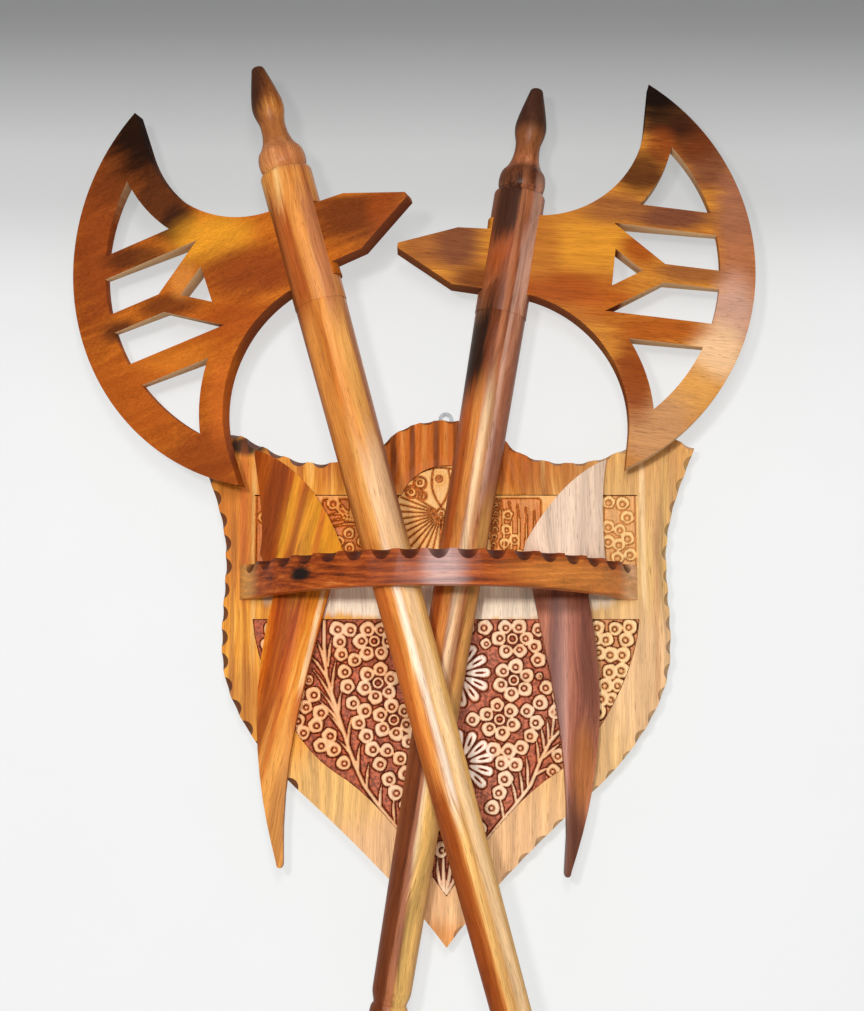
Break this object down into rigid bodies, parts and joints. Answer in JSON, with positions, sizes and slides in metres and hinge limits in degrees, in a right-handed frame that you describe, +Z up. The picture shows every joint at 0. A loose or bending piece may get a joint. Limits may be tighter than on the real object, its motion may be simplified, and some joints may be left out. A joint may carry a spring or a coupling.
{
  "type": "wall shield with crossed axes",
  "caption": "Carved wooden wall shield with a bowed strap that holds crossed fretwork axes and curved daggers, hung by a steel eye; each weapon lifts out of the strap.",
  "frame": {"origin": "centre of the hanging eye on the wall plane, the back of the board", "axes": "+X to the right seen from the front, +Y into the wall, +Z up"},
  "size_m": [0.4126, 0.0886, 0.5899],
  "materials": {
    "shield_wood": "gloss varnish over carved hardwood",
    "strap_wood": "gloss varnish",
    "left_handle_wood": "gloss varnish, turned",
    "left_head_wood": "gloss varnish",
    "right_handle_wood": "gloss varnish, turned",
    "right_head_wood": "gloss varnish",
    "left_dagger_wood": "gloss varnish",
    "right_dagger_wood": "gloss varnish",
    "peg_wood": "plain",
    "steel": "zinc plated"
  },
  "bodies": {
    "shield": {"shield_board": "shield_wood", "strap": "strap_wood", "strap_screws": "steel", "hanging_plate": "steel", "hanging_plate_screws": "steel", "dagger_pegs": "peg_wood"},
    "left_axe": {"left_handle_top": "left_handle_wood", "left_axe_head": "left_head_wood", "left_head_peg": "peg_wood", "left_shaft": "left_handle_wood"},
    "right_axe": {"right_handle_top": "right_handle_wood", "right_axe_head": "right_head_wood", "right_head_peg": "peg_wood", "right_shaft": "right_handle_wood"},
    "left_dagger": {"left_dagger": "left_dagger_wood"},
    "right_dagger": {"right_dagger": "right_dagger_wood"}
  },
  "joints": [
    {"name": "left_axe_lift", "type": "slide", "parent": "shield", "child": "left_axe", "axis": [-0.2605, 0, 0.9655], "range_m": [0, 0.3]},
    {"name": "right_axe_lift", "type": "slide", "parent": "shield", "child": "right_axe", "axis": [0.1599, 0, 0.9871], "range_m": [0, 0.29]},
    {"name": "left_dagger_lift", "type": "slide", "parent": "shield", "child": "left_dagger", "axis": [0.0593, 0, 0.9982], "range_m": [0, 0.19]},
    {"name": "right_dagger_lift", "type": "slide", "parent": "shield", "child": "right_dagger", "axis": [0.0872, 0, 0.9962], "range_m": [0, 0.18]}
  ]
}
